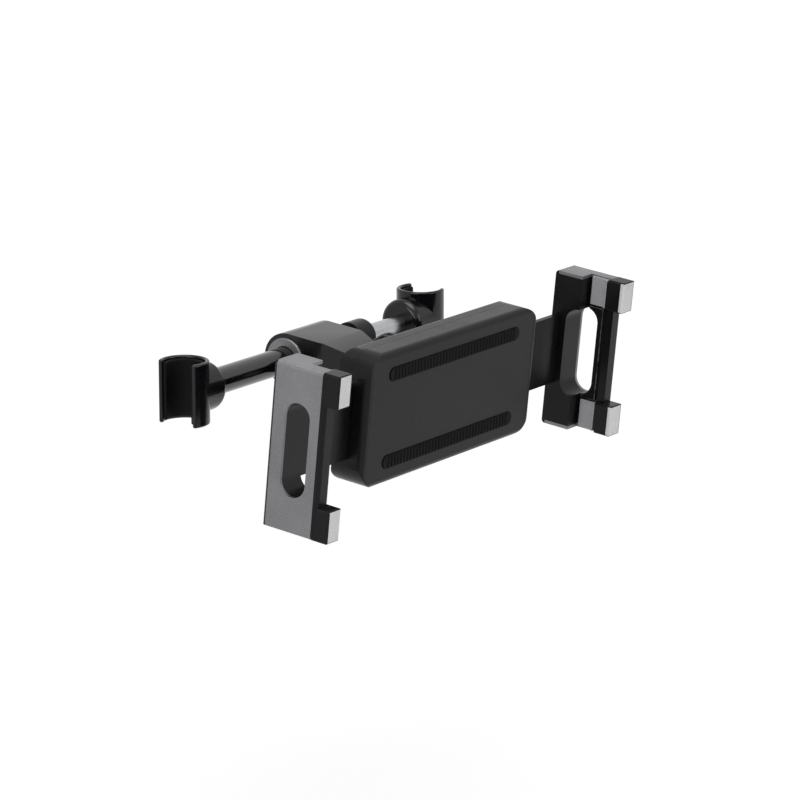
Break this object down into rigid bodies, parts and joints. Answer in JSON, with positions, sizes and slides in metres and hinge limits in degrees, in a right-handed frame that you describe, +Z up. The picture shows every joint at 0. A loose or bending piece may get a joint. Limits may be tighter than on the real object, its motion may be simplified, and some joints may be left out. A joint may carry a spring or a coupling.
{
  "type": "headrest tablet mount",
  "caption": "Tablet cradle with sliding spring jaws on a ball-jointed arm, held by a sprung telescopic bar between two headrest post clips.",
  "frame": {"origin": "centre of the left post clip, on the bar's axis", "axes": "+X along the bar to the right clip, +Y towards the seat, +Z up the headrest posts"},
  "size_m": [0.182, 0.0906, 0.0608],
  "materials": {
    "clip_gloss": "gloss moulded",
    "tube_gloss": "gloss black enamel on steel tube",
    "black_plastic": "fine moulded texture",
    "rubber": "matt",
    "gunmetal": "bead blasted, grey anodised",
    "steel": "turned",
    "nylon": "natural nylon",
    "pad_grey": "matt soft pad",
    "lip_grey": "matt soft pad"
  },
  "bodies": {
    "bar": {"left_clip": "clip_gloss", "left_clip_liner": "rubber", "left_grub_screw": "steel", "outer_tube": "tube_gloss", "rod_guide": "black_plastic", "bar_spring": "steel"},
    "right_end": {"inner_rod": "steel", "rod_piston": "nylon", "right_clip": "clip_gloss", "right_clip_liner": "rubber", "right_grub_screw": "steel"},
    "arm": {"arm_body": "black_plastic", "hub_sleeve": "nylon", "left_hub_disc": "gunmetal", "right_hub_disc": "gunmetal", "hub_set_screw": "steel", "ball_stud": "steel"},
    "seat": {"ball_seat": "nylon"},
    "tension": {"tension_ring": "steel"},
    "lock": {"lock_ring": "black_plastic"},
    "cradle": {"back_cover": "black_plastic", "front_cover": "black_plastic", "cover_screws": "steel", "rest_pads": "rubber", "left_spring": "steel", "right_spring": "steel"},
    "pinion": {"pinion": "nylon"},
    "left_jaw": {"left_rack": "black_plastic", "left_jaw_body": "black_plastic", "left_jaw_cover": "gunmetal", "left_hook_pads": "pad_grey", "left_lip_trim": "lip_grey", "left_edge_pad": "rubber", "left_rack_screws": "steel"},
    "right_jaw": {"right_rack": "black_plastic", "right_jaw_body": "black_plastic", "right_jaw_cover": "gunmetal", "right_hook_pads": "pad_grey", "right_lip_trim": "lip_grey", "right_edge_pad": "rubber", "right_rack_screws": "steel"}
  },
  "joints": [
    {"name": "bar_slide", "type": "slide", "parent": "bar", "child": "right_end", "axis": [1, 0, 0], "range_m": [-0.022, 0], "stiffness_N_per_m": 400, "springref_m": 0.012, "deforming": ["bar_spring"]},
    {"name": "arm_swing", "type": "hinge", "parent": "bar", "child": "arm", "pos_m": [0.0707, 0, 0], "axis": [1, 0, 0], "range_deg": [-60, 60]},
    {"name": "ball_tilt", "type": "hinge", "parent": "arm", "child": "seat", "pos_m": [0.0707, -0.04104, -0.0042], "axis": [1, 0, 0], "range_deg": [-18, 18]},
    {"name": "ball_pan", "type": "hinge", "parent": "seat", "child": "tension", "pos_m": [0.0707, -0.04104, -0.0042], "axis": [0, -0.1019, 0.9948], "range_deg": [-18, 18]},
    {"name": "ball_spin", "type": "hinge", "parent": "tension", "child": "cradle", "pos_m": [0.0707, -0.04104, -0.0042], "axis": [0, 0.9948, 0.1019], "continuous": true},
    {"name": "lock_turn", "type": "hinge", "parent": "cradle", "child": "lock", "pos_m": [0.0707, -0.04104, -0.0042], "axis": [0, 0.9948, 0.1019], "range_deg": [-90, 0]},
    {"name": "left_jaw_slide", "type": "slide", "parent": "cradle", "child": "left_jaw", "axis": [-1, 0, 0], "range_m": [-0.015, 0.015], "stiffness_N_per_m": 150, "deforming": ["left_spring"]},
    {"name": "right_jaw_slide", "type": "slide", "parent": "cradle", "child": "right_jaw", "axis": [1, 0, 0], "range_m": [-0.015, 0.015], "stiffness_N_per_m": 150, "deforming": ["right_spring"]},
    {"name": "pinion_spin", "type": "hinge", "parent": "cradle", "child": "pinion", "pos_m": [0.0707, -0.05515, -0.00625], "axis": [0, 0.9948, 0.1019], "range_deg": [-144, 144]}
  ],
  "couplings": [
    {"joint": "right_jaw_slide", "follows": "left_jaw_slide", "ratio": 1},
    {"joint": "pinion_spin", "follows": "left_jaw_slide", "rad_per_m": -166.67}
  ]
}
